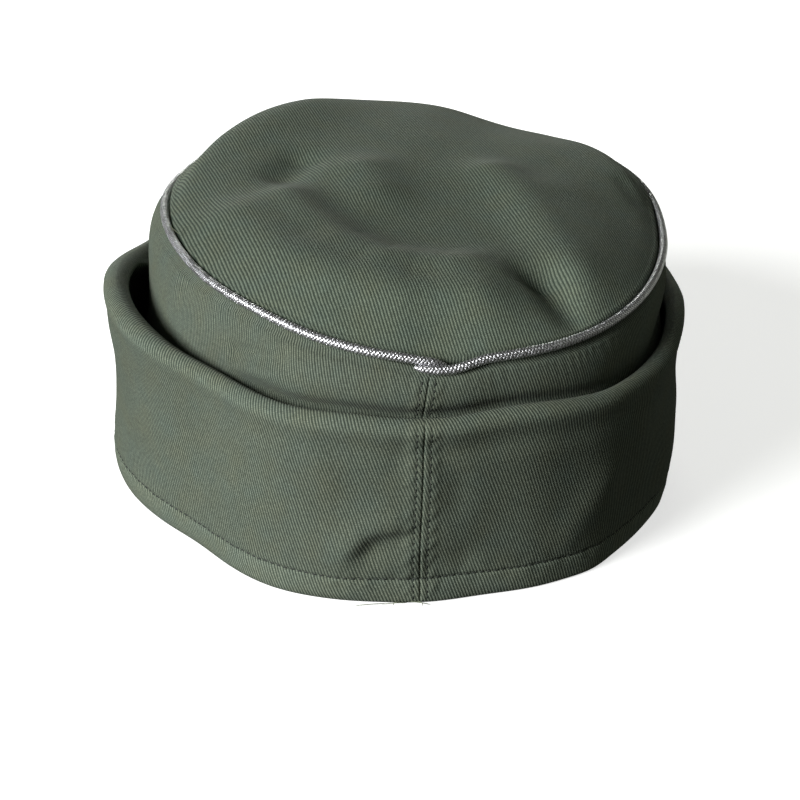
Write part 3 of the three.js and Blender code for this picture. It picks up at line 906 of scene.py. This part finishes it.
# Flap, and the soft roll along its top edge, deeper at the wearer's left and flat at the front
FLAP_STEP = 1.55
FLAP_FINE = (-9.0, 25.0, 0.45)
FLAP_END_WIDTH = 1.2
FLAP_END_PLACES = (0.0, 0.25, 0.6)
FLAP_END_ROUND = 1.3
FLAP_LOW_BENDS = (65.0, 45.0, 25.0, 10.0)
FLAP_RIPPLES = dict(size=0.42, seed=37, count=9, low=18.0, high=60.0)
INSIDE_RIPPLES = dict(size=0.2, seed=41, count=7, low=18.0, high=50.0)
HEM_RIPPLES = dict(size=0.308, seed=31, count=5, low=4.6, high=8.0)
HEM_SEWN = -0.46
HEM_SWELL = 0.3
HEM_SWELL_AT = (4.6, 3.2)
# How much lighter the flap is below the hem stitches.
HEM_LIGHTER = 0.26
ROLL_WIDE = 5.0
ROLL_LEFT = 2.4
ROLL_LEFT_AT = (76.0, 34.0)
ROLL_FLAT_ANGLES = (118.0, 146.0)
ROLL_FROM = 0.944
ROLL_SWELL = 0.7
ROLL_SWELL_AT = (-3.0, 3.2)
ROLL_DIP = 0.8
ROLL_DIP_AT = (-10.0, 3.6)
ROLL_DIP_ANGLES = (-12.0, 42.0)
# Partly wear and partly painted highlight: how much lighter the roll is.
ROLL_WEAR_AND_HIGHLIGHT = 0.18
# Where the lip ends, before the lap
LIP_END_ANGLES = (148.0, 158.0)


def flap_detail(length, angle, height):
    """Lift of the outer cloth of the flap: its hem, seam, creases and soft waves."""
    edge = height - rim_point(angle)[2]
    sewn = HEM_SEWN * hump(edge, HEM_STITCH_HEIGHT, 0.5)
    hem = HEM_SWELL * hump(edge, *HEM_SWELL_AT)
    drawn = ripples(length, edge, **HEM_RIPPLES) * hump(edge, HEM_STITCH_HEIGHT, 3.4)
    cloth = ripples(length, height, **FLAP_RIPPLES) + folds(length, height, FLAP_CREASES)
    over = height - flap_top(angle)
    rolled = ROLL_SWELL * hump(over, *ROLL_SWELL_AT)
    rolled = rolled - ROLL_DIP * hump(over, *ROLL_DIP_AT) * hump(angle, *ROLL_DIP_ANGLES)
    return sewn + hem + drawn + cloth + rolled + back_seam(length, height)


def flap_outer(length, share):
    angle = angle_at(length)
    height = flap_height(angle, share)
    lift = flap_detail(length, angle, height) * smooth(share, 0.0, 0.05)
    return flap_point(angle, share, flap_thickness(share) + lift)


def roll_width(angle):
    """Depth of the soft roll, pressed flat where the ends lap at the front."""
    wide = ROLL_WIDE + ROLL_LEFT * hump(angle, *ROLL_LEFT_AT)
    return mix(wide, FLAP_ROLL_THICK, smooth(np.abs(angle), *ROLL_FLAT_ANGLES))


def flap_roll(length, bend):
    """The soft roll along the top edge: bend runs from 0 on the outer face to 180 degrees inside."""
    angle = angle_at(length)
    turned = np.radians(bend)
    share = ROLL_FROM + (1 - ROLL_FROM) * np.sin(turned)
    lift = flap_detail(length, angle, flap_height(angle, share))
    half = roll_width(angle) / 2
    return flap_point(angle, share, FLAP_ROLL_THICK - half + (half + lift) * np.cos(turned))


def flap_inner(length, share):
    angle = angle_at(length)
    height = flap_height(angle, share)
    depth = 0.14 + 0.16 * hump(angle, *ROLL_LEFT_AT)
    roll = (roll_width(angle) - FLAP_ROLL_THICK) * smooth(share, ROLL_FROM - depth, ROLL_FROM)
    soft = ripples(length, height, **INSIDE_RIPPLES) * smooth(share, 0.0, 0.2)
    tuck = folds(length, height, FLAP_TUCKS)
    room = CLOTH_GAP + waves(angle, FLAP_STAND_OFF) * share - wall_billow(angle, height) - 0.4
    return flap_point(angle, share, -np.clip(roll + soft + tuck, 0.0, np.maximum(room, 0.05)))


def turn_up():
    reach = 180.0 + FLAP_OVERLAP_ANGLE
    start, end = length_at(-reach), length_at(reach)
    plain = np.arange(start + FLAP_END_WIDTH, end - FLAP_END_WIDTH, FLAP_STEP)
    plain = finer_at_seam(finer(plain, *FLAP_FINE))
    ends = np.array(FLAP_END_PLACES)
    length = np.concatenate([start + ends, plain, (end - ends)[::-1]])[None, :]
    angle = angle_at(length)
    hem_share = HEM_STITCH_HEIGHT / FLAP_HEIGHT
    share = np.unique(np.concatenate([
        np.linspace(0.035, ROLL_FROM, 54),
        np.linspace(0.15, 0.5, 22),
        np.linspace(hem_share - 0.022, hem_share + 0.022, 7),
    ]))[:, None]
    outer = stacked(*flap_outer(length, share))
    bends = np.linspace(15.0, 90.0, 6)[:, None]
    rolled = stacked(*flap_roll(length, bends))
    rolled_in = stacked(*flap_roll(length, 180.0 - bends[::-1] * 0.93))
    inner = stacked(*flap_inner(length, share[::-1]))
    bend = np.radians(FLAP_LOW_BENDS)[:, None]
    low_thick = FLAP_THICK * (0.5 + 0.5 * np.cos(bend))
    low_out = stacked(*flap_point(angle, 0.02 - 0.02 * np.sin(bend), low_thick))
    single = 1 - smooth(angle, *LIP_END_ANGLES)
    low_in = [stacked(*flap_point(angle, low, out * single)) for low, out in FLAP_LIP]
    points = np.concatenate([low_out, outer, rolled, rolled_in, inner, *low_in])
    half = len(points) // 2
    from_end = np.minimum(length - length[0, 0], length[0, -1] - length)
    round_end = rounded_off(from_end, FLAP_END_ROUND, 0.04)[:, :, None]
    middle = (points[:half] + points[half:][::-1]) / 2
    points[:half] = middle + (points[:half] - middle) * round_end
    points[half:] = middle[::-1] + (points[half:] - middle[::-1]) * round_end
    uv = stacked(length + drift(points, angle), across_rows(points))
    tone = np.ones(points.shape[:2])
    # Lighter along the roll, partly wear and partly painted highlight, and lighter below the hem
    # stitches.
    below_hem_stitch = 1 - smooth(share * FLAP_HEIGHT, HEM_STITCH_HEIGHT - 0.6, HEM_STITCH_HEIGHT)
    lightening = ROLL_WEAR_AND_HIGHLIGHT * smooth(share, 0.9, 0.95) + HEM_LIGHTER * below_hem_stitch
    first, last = len(low_out), len(low_out) + len(outer)
    tone[first:last] += lightening
    tone[last:last + len(rolled)] += ROLL_WEAR_AND_HIGHLIGHT
    piece = build("turn_up_flap", points, uv, close_rows=True, tone=tone)
    dress(piece, "flap_cloth", FLAP_CLOTH, "flap")


# Piping
PIPING_COLUMNS = 2700
PIPING_SIDES = 24
PIPING_SUNK_ANGLES = (18.0, 45.0)
# Painted shade: how dark the grooves between the strands are.
BRAID_GROOVE_PAINTED_SHADE = 0.06


def piping_line(share):
    """Middle of the cord, whose last end crosses over its first and dives into the seam."""
    overlap = PIPING_TAIL_ANGLE + PIPING_END_ANGLE
    whole = 360.0 + overlap
    travelled = share * whole
    under = 1 - smooth(travelled, overlap, overlap + PIPING_RAMP_ANGLE)
    over = smooth(travelled, whole - overlap - PIPING_RAMP_ANGLE, whole - overlap)
    angle = PIPING_TAIL_ANGLE - travelled
    dive = smooth(travelled, whole - PIPING_DIVE_ANGLE, whole)
    out = PIPING_OUT + PIPING_UNDER_OUT * under - PIPING_DIVE_OUT * dive
    out = out - PIPING_SINK * piping_sunk(angle)
    up = PIPING_LAP_UP * (over - under) - PIPING_DIVE_DOWN * dive
    return stacked(*seam_point(angle, out, up)), angle


def piping_sunk(angle):
    """Where the cord sits deeper between the two cloths: 0 at the back, 1 on the sides and front."""
    return smooth(np.abs(turn(angle, 0.0)), *PIPING_SUNK_ANGLES)


def braid(across, along):
    """Height of two sets of strands that wind in opposite ways, over and under each other."""
    half = BRAID_STRANDS / 2
    one = across * half / (2 * math.pi) + along / BRAID_PITCH * half
    two = across * half / (2 * math.pi) - along / BRAID_PITCH * half
    first = np.abs(np.sin(math.pi * one)) ** BRAID_FLATNESS
    second = np.abs(np.sin(math.pi * two)) ** BRAID_FLATNESS
    lift = np.sin(math.pi * two + math.pi * np.floor(one))
    above = first * (1 - BRAID_CROSSING * (1 - lift))
    below = second * (1 - BRAID_CROSSING * (1 + lift))
    return np.maximum(above, below), (above > below).astype(float)


def braided_piping():
    share = np.linspace(0.0, 1.0, PIPING_COLUMNS)
    line, angle = piping_line(share)
    forward = unit(np.gradient(line, axis=0))
    side = unit(np.cross(forward, [0.0, 0.0, 1.0]))
    travelled = np.concatenate([[0.0], np.cumsum(np.linalg.norm(np.diff(line, axis=0), axis=1))])
    around = np.linspace(0.0, 2 * math.pi, PIPING_SIDES, endpoint=False)[:, None]
    height, upper = braid(around, travelled[None, :])
    to_end = np.minimum(travelled, travelled[-1] - travelled)[None, :]
    slim = (1 - PIPING_THIN * piping_sunk(angle))[None, :]
    radius = PIPING_RADIUS - BRAID_SUNK + BRAID_DEPTH * height
    radius = radius * rounded_off(to_end, PIPING_TAPER, 0.01) * slim
    points = line + radius[:, :, None] * ring(around, side, np.cross(side, forward))
    girth = np.linspace(0.0, 2 * math.pi * PIPING_RADIUS, PIPING_SIDES + 1)[:, None]
    uv = stacked(travelled[None, :], girth)
    # Painted shade in the grooves between the strands.
    tone = mix(BRAID_GROOVE_PAINTED_SHADE, 1.0, smooth(height, 0.4, 0.85))
    piece = build("braided_piping", points, uv, close_rows=True, tone=tone, upper=upper)
    dress(piece, "piping_braid", BRAID, "piping")


# Peak
def peak_surface(across, share):
    """Top of the peak, with across from -1 to 1 and share from its root to its edge."""
    root_out = -FLAP_THICK - CLOTH_GAP - WALL_THICK / 2
    root_x, root_y, root_z = rim_point(180.0 + PEAK_HALF_ANGLE * across, root_out)
    corner_y = RIM_HALF_LENGTH * math.cos(math.radians(PEAK_HALF_ANGLE))
    sine, cosine = outward(90.0 * across)
    power = 2 / PEAK_ROUNDNESS
    edge_x = -PEAK_HALF_WIDTH * np.sign(sine) * np.abs(sine) ** power
    edge_y = -corner_y - (PEAK_FRONT_Y - corner_y) * np.abs(cosine) ** power
    root_top = root_z - PEAK_ROOT_GAP
    corner = smooth(np.abs(across), PEAK_CORNER_FROM, 1.0)
    edge_top = mix(PEAK_THICK, root_top - PEAK_CORNER_DROP, corner)
    camber = PEAK_CAMBER * np.sin(math.pi * share) * (1 - corner)
    top = mix(root_top, edge_top, share) + camber
    return mix(root_x, edge_x, share), mix(root_y, edge_y, share), top


def peak_stitch_share(across):
    """Where the row of stitches runs, the same distance in from the edge all along."""
    root = stacked(*peak_surface(across, 0.0))
    edge = stacked(*peak_surface(across, 1.0))
    return 1 - PEAK_STITCH_INSET / np.linalg.norm(edge - root, axis=-1)


PEAK_COLUMNS = 301
PEAK_END_PLACES = (0.0, 0.004, 0.02, 0.06, 0.13, 0.24, 0.4, 0.6, 0.8)
PEAK_RIM_BENDS = (25.0, 55.0, 90.0, 125.0, 155.0)
PEAK_SEWN = -0.25
PEAK_BORDER = 0.14
PEAK_RIPPLES = dict(size=0.07, seed=53, count=7, low=9.0, high=26.0)


def cloth_peak():
    ends = 1 - PEAK_END * np.array(PEAK_END_PLACES)
    middle = np.linspace(PEAK_END - 1, 1 - PEAK_END, PEAK_COLUMNS)
    across = np.concatenate([-ends, middle, ends[::-1]])[None, :]
    slim = rounded_off(1 - np.abs(across), PEAK_END, 0.004)
    thick = PEAK_THICK * slim
    sink = (PEAK_THICK - thick) / 2
    share = np.concatenate([np.linspace(0.0, 0.86, 40), np.linspace(0.872, 0.985, 16)])[:, None]
    x, y, z = peak_surface(across, share * slim)
    root = stacked(*peak_surface(across, 0.0))
    edge = stacked(*peak_surface(across, slim))
    depth = np.linalg.norm(edge - root, axis=-1)
    inset = (1 - share) * depth
    sewn = PEAK_SEWN * hump(inset, PEAK_STITCH_INSET, 0.6)
    border = PEAK_BORDER * (1 - smooth(inset, PEAK_STITCH_INSET, PEAK_STITCH_INSET + 0.8))
    lift = (sewn + border + ripples(x, y, **PEAK_RIPPLES)) * smooth(share, 0.02, 0.1)
    top = stacked(x, y, z + lift * slim - sink)
    bends = np.radians(PEAK_RIM_BENDS)[:, None]
    depths = 0.5 - 0.5 * np.cos(bends)
    x, y, z = peak_surface(across, slim * (0.985 + 0.015 * np.sin(bends)))
    rim = stacked(x, y, z - sink - thick * depths)
    x, y, z = peak_surface(across, share[::-1] * slim)
    low = stacked(x, y, z - sink - thick)
    low_root = root - np.array([0.0, 0.0, PEAK_THICK / 2])
    points = np.concatenate([low_root, top, rim, low])
    past = np.concatenate([np.zeros(len(top) + 1), depths[:, 0], np.ones(len(low))]) * PEAK_THICK
    way_out = (edge - root)[:, :, :2] / depth[:, :, None]
    run = points[:, :, :2] + way_out * past[:, None, None]
    run = np.concatenate([run, run[:1]])
    piece = build("cloth_peak", points, run, close_rows=True)
    dress(piece, "peak_cloth", PEAK_CLOTH, "peak")


# Buttons
# The turned shape, as shares of the radius and of half the depth
BUTTON_PROFILE = [
    (0.35, -1.0), (0.86, -1.0), (0.95, -0.86), (1.0, -0.6), (1.0, -0.35),
    (0.975, -0.16), (0.93, -0.06), (0.905, -0.1), (0.88, -0.02), (0.8, 0.34),
    (0.68, 0.6), (0.52, 0.8), (0.34, 0.93), (0.15, 0.99),
]
BUTTON_COLUMNS = 64


def flap_face(height):
    share = flap_share(180.0, height)
    return flap_point(180.0, share, flap_thickness(share))


def button(name, node, index):
    height = flap_top(180.0) - BUTTON_DROP - BUTTON_SPACING * index
    low = flap_face(height - BUTTON_RADIUS)
    high = flap_face(height + BUTTON_RADIUS)
    lean = math.atan2(high[1] - low[1], high[2] - low[2])
    axis = np.array([0.0, -math.cos(lean), math.sin(lean)])
    up = np.array([0.0, math.sin(lean), math.cos(lean)])
    centre = np.array([0.0, (low[1] + high[1]) / 2, height]) + axis * (BUTTON_GAP + BUTTON_DEPTH / 2)
    radius, depth = np.array(BUTTON_PROFILE).T[:, :, None]
    radius, depth = radius * BUTTON_RADIUS, depth * BUTTON_DEPTH / 2
    around = np.linspace(0.0, 2 * math.pi, BUTTON_COLUMNS, endpoint=False)[None, :]
    grain = 0.05 * np.sin(7 * around + 3 * radius) * np.sin(2.3 * radius) * (depth > 0)
    points = centre + (depth + grain)[:, :, None] * axis
    points = points + radius[:, :, None] * ring(around, np.array([1.0, 0.0, 0.0]), up)
    half = axis * BUTTON_DEPTH / 2
    piece = build(name, points, closed(points[:, :, [0, 2]]), close_columns=True,
                  poles=[centre - half, centre + half], pole_uv=[0.0, height])
    dress(piece, "button_metal", BUTTON, node)


# Stitches and threads
STITCH_RINGS = 7
STITCH_SIDES = 6
STITCH_SLACK = 0.12
STITCH_LIFT = 0.02
STITCH_BURY = 0.3
LOOSE_RADIUS = 0.13
# Rows of stitches: the heights of the back seam's rows, and the peak's row from -1 to 1 across
HEM_ROW_INSET = 4.0
FLAP_SEAM_ROW = (1.5, 57.5)
WALL_SEAM_ROW = (56.0, 71.0)
PEAK_ROW_END = 0.95
PEAK_ROW_SCALE = 118.0


def tubes(name, lines, radius, bury=0.0):
    """One mesh of many short threads: each line is its points and the way out of the cloth."""
    vertices = []
    faces = []
    around = np.linspace(0.0, 2 * math.pi, STITCH_SIDES, endpoint=False)[None, :]
    for points, way in lines:
        forward = unit(np.gradient(points, axis=0))
        side = unit(np.cross(forward, way))
        share = np.linspace(-1.0, 1.0, len(points))[:, None]
        thick = radius * np.sqrt(np.clip(1 - share**6, 0.05, 1.0))
        middle = points - bury * share**4 * way
        rings = ring(around, side[:, None], np.cross(side, forward)[:, None])
        first = len(vertices)
        vertices.extend((middle[:, None] + rings * thick[:, None]).reshape(-1, 3))
        last = len(vertices) - STITCH_SIDES
        for row in range(first, last, STITCH_SIDES):
            for k in range(STITCH_SIDES):
                n = (k + 1) % STITCH_SIDES
                faces.append([row + k, row + n, row + STITCH_SIDES + n, row + STITCH_SIDES + k])
        faces.append([first + k for k in range(STITCH_SIDES)])
        faces.append([last + k for k in range(STITCH_SIDES)])
    mesh = bpy.data.meshes.new(name)
    mesh.from_pydata(((np.array(vertices) + ORIGIN) * MM).tolist(), [], faces)
    return finish_mesh(name, mesh)


def row_on(surface, start, end, seed, pitch=STITCH_PITCH, length=STITCH_LENGTH):
    """Stitches on a surface, which gives points and the way out of the cloth along the row."""
    draw = random.Random(seed)
    lines = []
    place = start
    while place + length < end:
        slack = draw.uniform(-STITCH_SLACK, STITCH_SLACK)
        points, way = surface(np.linspace(place, place + length + slack, STITCH_RINGS))
        lines.append((points + way * STITCH_LIFT, way))
        place += pitch
    return lines


def hem_surface(length):
    angle = angle_at(length)
    share = HEM_STITCH_HEIGHT / (flap_top(angle) - rim_point(angle)[2])
    points = stacked(*flap_outer(length, share))
    sine, cosine = outward(float(np.mean(angle)))
    return points, np.array([sine, cosine, 0.0])


def flap_outside(length, height):
    return flap_outer(length, flap_share(angle_at(length), height))


def wall_outside(length, height):
    angle = angle_at(length)
    lift = wall_detail(length, angle, height) + wall_billow(angle, height)
    return wall_point(angle, wall_share(angle, height), lift)


def seam_surface(outside, side, way):
    def surface(height):
        return stacked(*outside(seam_place(height) + side * SEAM_STITCH_AWAY, height)), np.array(way)
    return surface


def peak_row_surface(across):
    points = stacked(*peak_surface(across, peak_stitch_share(across)))
    points[:, 2] -= 0.1
    return points, np.array([0.0, 0.0, 1.0])


def stitches():
    reach = length_at(180.0 + FLAP_OVERLAP_ANGLE)
    lines = row_on(hem_surface, HEM_ROW_INSET - reach, reach - HEM_ROW_INSET, 3)
    dress(tubes("hem_stitches", lines, STITCH_RADIUS * 1.25, STITCH_BURY), "flap_cloth", THREAD)
    lines = []
    size = (SEAM_STITCH_PITCH, SEAM_STITCH_LENGTH)
    for side in (-1, 1):
        flap = seam_surface(flap_outside, side, (0.0, 1.0, 0.0))
        wall = seam_surface(wall_outside, side, (0.0, 0.8, 0.6))
        lines += row_on(flap, *FLAP_SEAM_ROW, 5 + side, *size)
        lines += row_on(wall, *WALL_SEAM_ROW, 8 + side, *size)
    dress(tubes("back_seam_stitches", lines, STITCH_RADIUS * 0.9, STITCH_BURY), "flap_cloth", THREAD)
    pitch = STITCH_PITCH / PEAK_ROW_SCALE
    lines = row_on(peak_row_surface, -PEAK_ROW_END, PEAK_ROW_END, 13, pitch, pitch * 0.72)
    dress(tubes("peak_stitches", lines, STITCH_RADIUS, 0.25), "peak_cloth", THREAD)


# Loose thread ends: bow is how far each bends out on its way
THREAD_ENDS = table(
    "start end bow",
    ((71.2, 21.5, 81.2), (74.6, 21.0, 84.6), (0.6, 0.4, 0.5)),
    ((2.0, 108.0, 0.9), (9.5, 108.4, 0.5), (0.0, 0.6, 0.5)),
    ((8.5, 108.3, 0.7), (17.5, 109.2, 0.4), (0.0, 0.5, 0.4)),
    ((4.5, 107.8, 1.4), (6.2, 108.9, 0.4), (0.4, 0.3, 0.3)),
    ((1.0, 107.8, 1.2), (-5.0, 108.2, 0.5), (0.0, 0.5, 0.4)),
    ((-1.2, 108.0, 1.5), (-2.4, 108.9, 0.4), (-0.5, 0.4, 0.3)),
)


def loose_threads():
    lines = []
    for row in THREAD_ENDS:
        start, end, bow = (np.array(row[key]) for key in ("start", "end", "bow"))
        share = np.linspace(0.0, 1.0, 12)[:, None]
        points = mix(start, end, share) + bow * np.sin(math.pi * share) * 1.2
        lines.append((points, unit(np.array([0.0, 0.3, 1.0]))))
    dress(tubes("loose_threads", lines, LOOSE_RADIUS), "flap_cloth", LOOSE_YARN)


# Studio, in metres
FLOOR_SIZE = 8.0
FLOOR_HEIGHT = -0.00005
FLOOR_GLOW = 0.66


def camera():
    data = bpy.data.cameras.new("camera")
    data.lens = CAMERA_LENS
    data.sensor_fit = "HORIZONTAL"
    holder = linked("camera", data)
    way = Vector(CAMERA_TARGET) - Vector(CAMERA_PLACE)
    roll = Quaternion((0, 0, 1), math.radians(CAMERA_ROLL))
    holder.location = CAMERA_PLACE
    holder.rotation_mode = "QUATERNION"
    holder.rotation_quaternion = way.to_track_quat("-Z", "Y") @ roll
    bpy.context.scene.camera = holder


def floor():
    bpy.ops.mesh.primitive_plane_add(size=FLOOR_SIZE, location=(0.0, 0.0, FLOOR_HEIGHT))
    piece = bpy.context.object
    piece.name = "floor"
    nodes = Nodes("pale floor")
    nodes.set("Base Color", (0.86, 0.86, 0.855, 1))
    nodes.set("Roughness", 0.9)
    nodes.set("Emission Color", (1.0, 1.0, 1.0, 1))
    nodes.set("Emission Strength", FLOOR_GLOW)
    piece.data.materials.append(nodes.material)
    piece.visible_diffuse = False
    piece.visible_glossy = False


# Soft suns: a key at the back left and weak fills. Azimuth runs from the back towards +X.
SUNS = table(
    "name azimuth elevation strength spread colour",
    ("key", 54.0, 20.0, 6.3, 32.0, (0.985, 1, 0.99)),
    ("front_fill", 178.0, 6.0, 1.6, 30.0, (0.96, 1, 0.9)),
    ("side_fill", -118.0, 6.0, 0.26, 40.0, (0.96, 1, 0.86)),
)
ROOM_COLOUR = (0.96, 1.0, 0.86, 1)
ROOM_STRENGTH = 0.08


def lights():
    for row in SUNS:
        data = bpy.data.lights.new(row["name"], "SUN")
        data.energy = row["strength"]
        data.angle = math.radians(row["spread"])
        data.color = row["colour"]
        sun = linked(row["name"], data)
        azimuth, elevation = math.radians(row["azimuth"]), math.radians(row["elevation"])
        flat = math.cos(elevation)
        way = Vector((flat * math.sin(azimuth), flat * math.cos(azimuth), math.sin(elevation)))
        sun.rotation_mode = "QUATERNION"
        sun.rotation_quaternion = way.to_track_quat("Z", "Y")
    world = bpy.data.worlds.new("studio")
    world.use_nodes = True
    background = world.node_tree.nodes["Background"]
    background.inputs["Color"].default_value = ROOM_COLOUR
    background.inputs["Strength"].default_value = ROOM_STRENGTH
    bpy.context.scene.world = world


camera()
crown_panel()
crown_wall()
turn_up()
braided_piping()
cloth_peak()
button("upper_button", "button_upper", 0)
button("lower_button", "button_lower", 1)
stitches()
loose_threads()
floor()
lights()
bpy.context.scene.view_settings.view_transform = "Standard"
bpy.context.scene.view_settings.look = "None"
